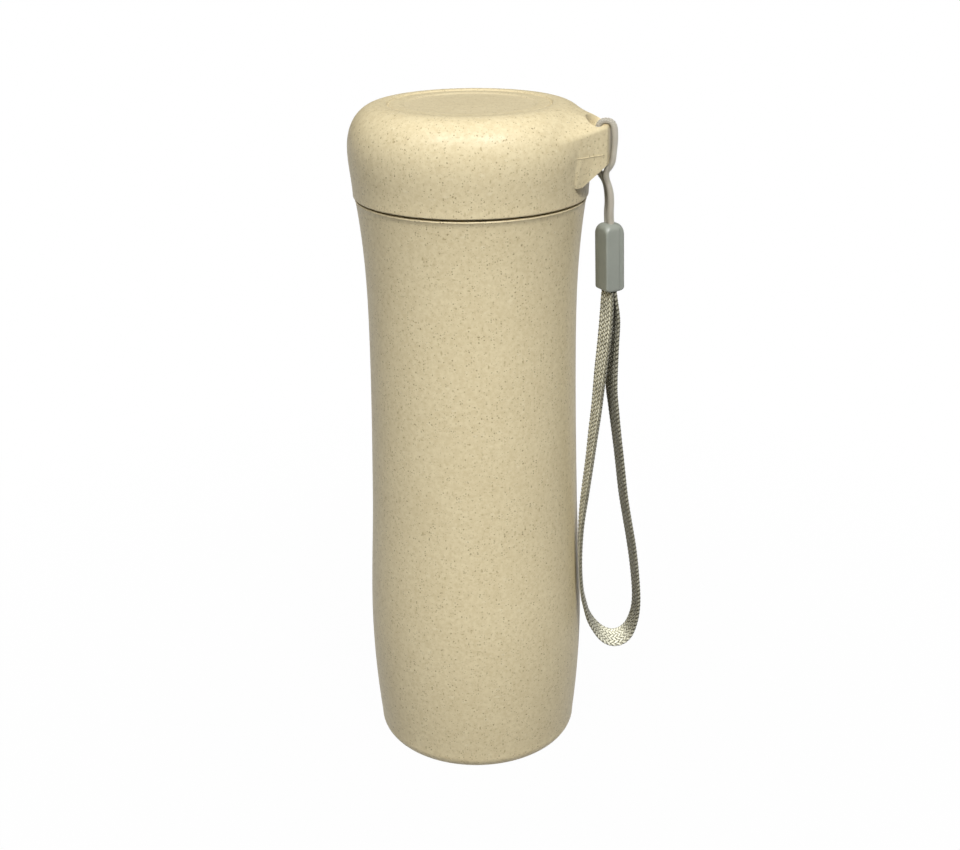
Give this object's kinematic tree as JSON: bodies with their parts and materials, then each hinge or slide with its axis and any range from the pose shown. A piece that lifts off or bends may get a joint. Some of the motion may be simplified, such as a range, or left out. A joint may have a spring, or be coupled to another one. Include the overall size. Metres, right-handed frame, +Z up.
{
  "type": "screw-lid tumbler",
  "caption": "Waisted wheat-straw cup with a glass liner, a domed screw lid with a cord lug, and a flat wrist strap that hangs from a clip.",
  "frame": {"origin": "centre of the cup's foot, on the surface that it stands on", "axes": "+Z up along the cup's axis, +X towards the lug of the lid"},
  "size_m": [0.0826, 0.0656, 0.1898],
  "materials": {
    "wheat_straw": "fine matte with straw specks",
    "clear_glass": "clear",
    "silicone": "soft matte",
    "inner_lid_plastic": "satin",
    "clip_plastic": "satin",
    "cord_yarn": "round braid",
    "strap_webbing": "flat herringbone braid"
  },
  "bodies": {
    "vessel": {"outer_shell": "wheat_straw", "base_cushion": "silicone", "glass_liner": "clear_glass", "neck_collar": "wheat_straw", "neck_ring": "silicone"},
    "seal": {"lid_seal": "silicone"},
    "lid": {"lid_cover": "wheat_straw", "lid_insert": "inner_lid_plastic"},
    "cord": {"cord_loop": "cord_yarn"},
    "lanyard": {"clip_body": "clip_plastic", "clip_cover": "clip_plastic", "strap_loop": "strap_webbing"}
  },
  "joints": [
    {"name": "lid_rise", "type": "slide", "parent": "vessel", "child": "seal", "axis": [0, 0, 1], "range_m": [0, 0.01]},
    {"name": "lid_turn", "type": "hinge", "parent": "seal", "child": "lid", "pos_m": [0, 0, 0.1703], "axis": [0, 0, 1], "range_deg": [0, 720]},
    {"name": "lanyard_swing", "type": "hinge", "parent": "lid", "child": "cord", "pos_m": [0.0362, 0, 0.1735], "axis": [0, -1, 0], "range_deg": [0, 110], "deforming": ["cord_loop"]},
    {"name": "clip_sway", "type": "hinge", "parent": "cord", "child": "lanyard", "pos_m": [0.0378, 0, 0.159], "axis": [1, 0, 0], "range_deg": [-45, 45]}
  ],
  "couplings": [
    {"joint": "lid_rise", "follows": "lid_turn", "m_per_rad": 0.00079577}
  ]
}
